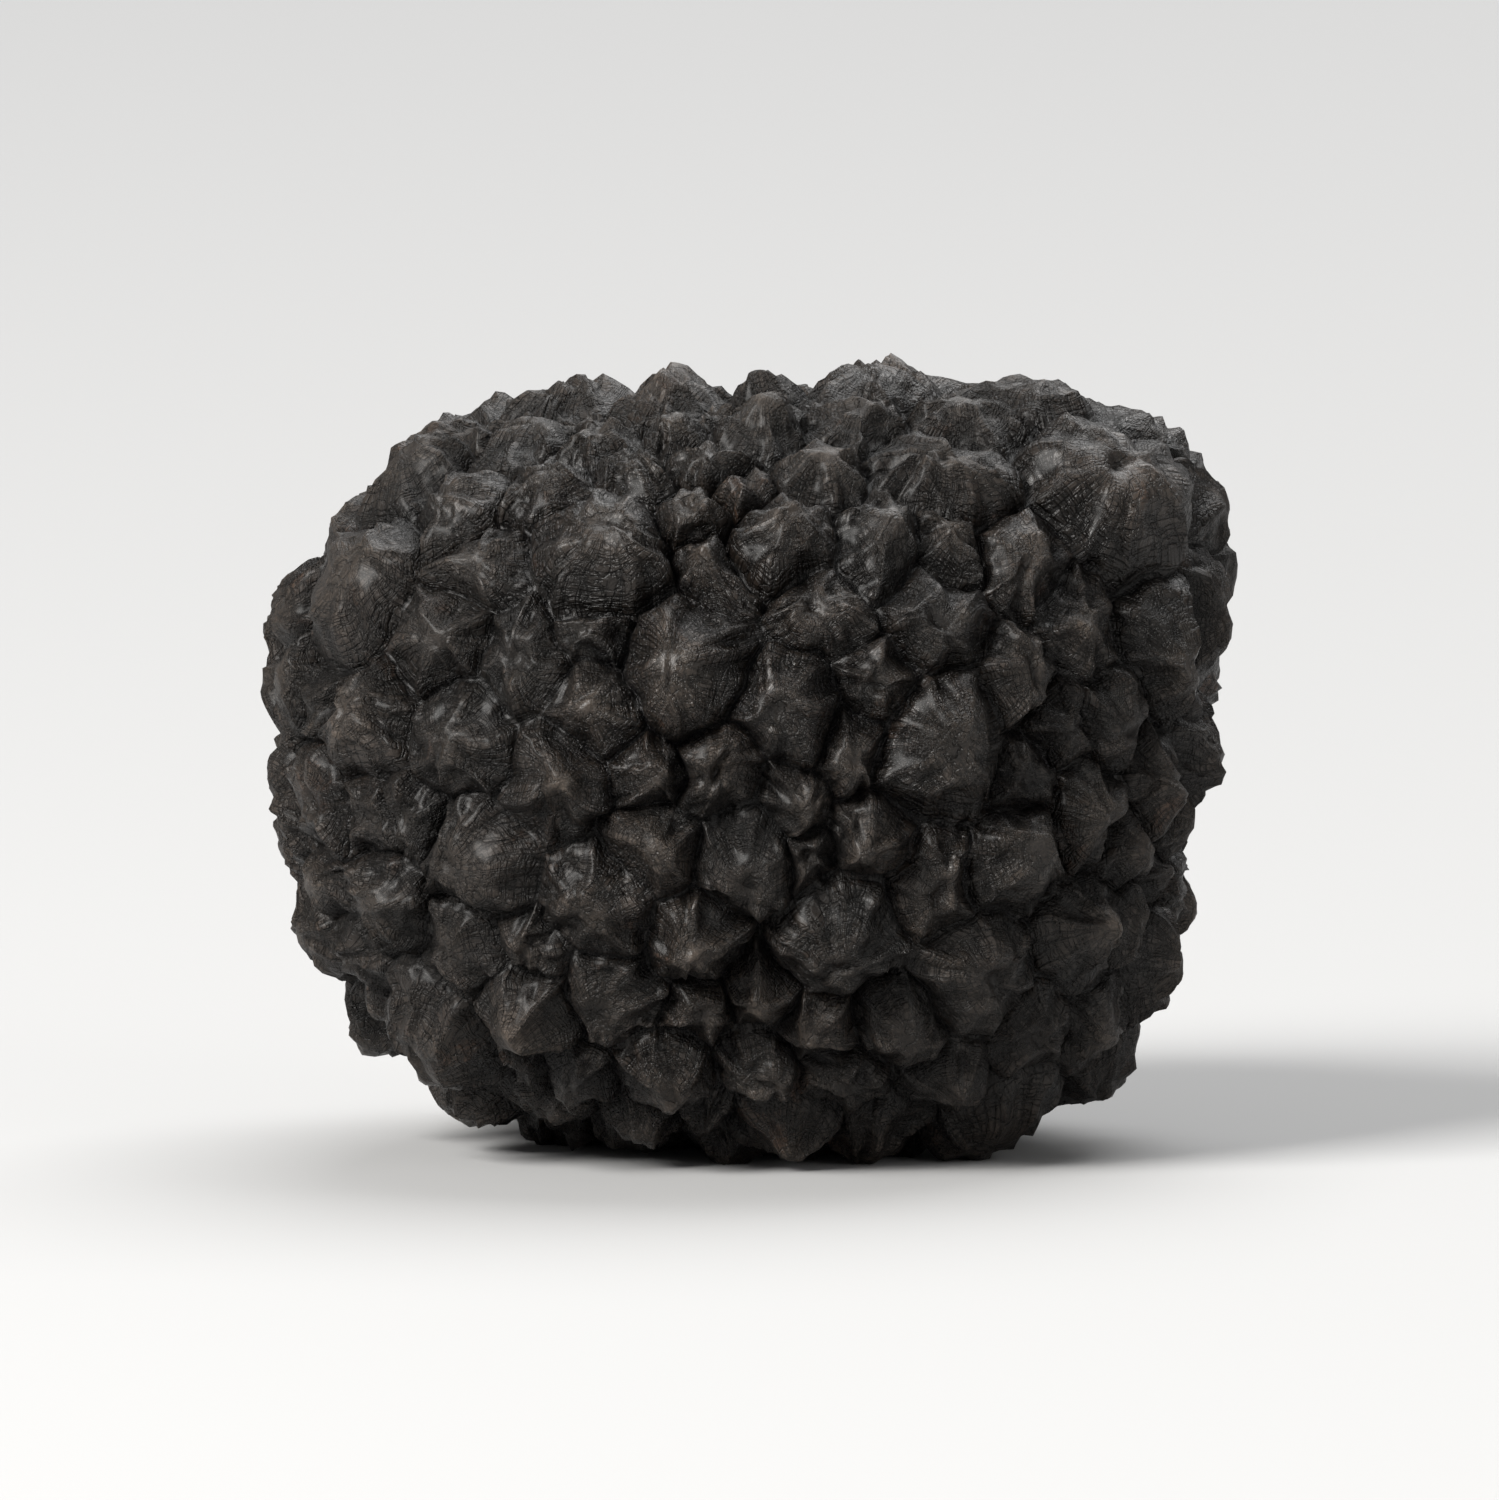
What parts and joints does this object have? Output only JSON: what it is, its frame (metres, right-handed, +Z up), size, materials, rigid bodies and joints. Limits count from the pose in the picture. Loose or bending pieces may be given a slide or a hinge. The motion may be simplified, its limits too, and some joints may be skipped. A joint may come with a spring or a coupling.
{
  "type": "black truffle",
  "caption": "Whole black truffle: a firm, low, rounded tuber covered in blunt pyramid-shaped warts, resting on flattened wart tips.",
  "frame": {"origin": "under the middle of the truffle, on the surface it rests on", "axes": "+Z up; +X along the truffle's width, its longest size; +Y towards its back, away from the side seen first"},
  "size_m": [0.028, 0.026, 0.0226],
  "materials": {
    "peridium": "black-brown warty rind, moist, with a dull sheen"
  },
  "bodies": {
    "root": {"truffle": "peridium"}
  },
  "joints": []
}
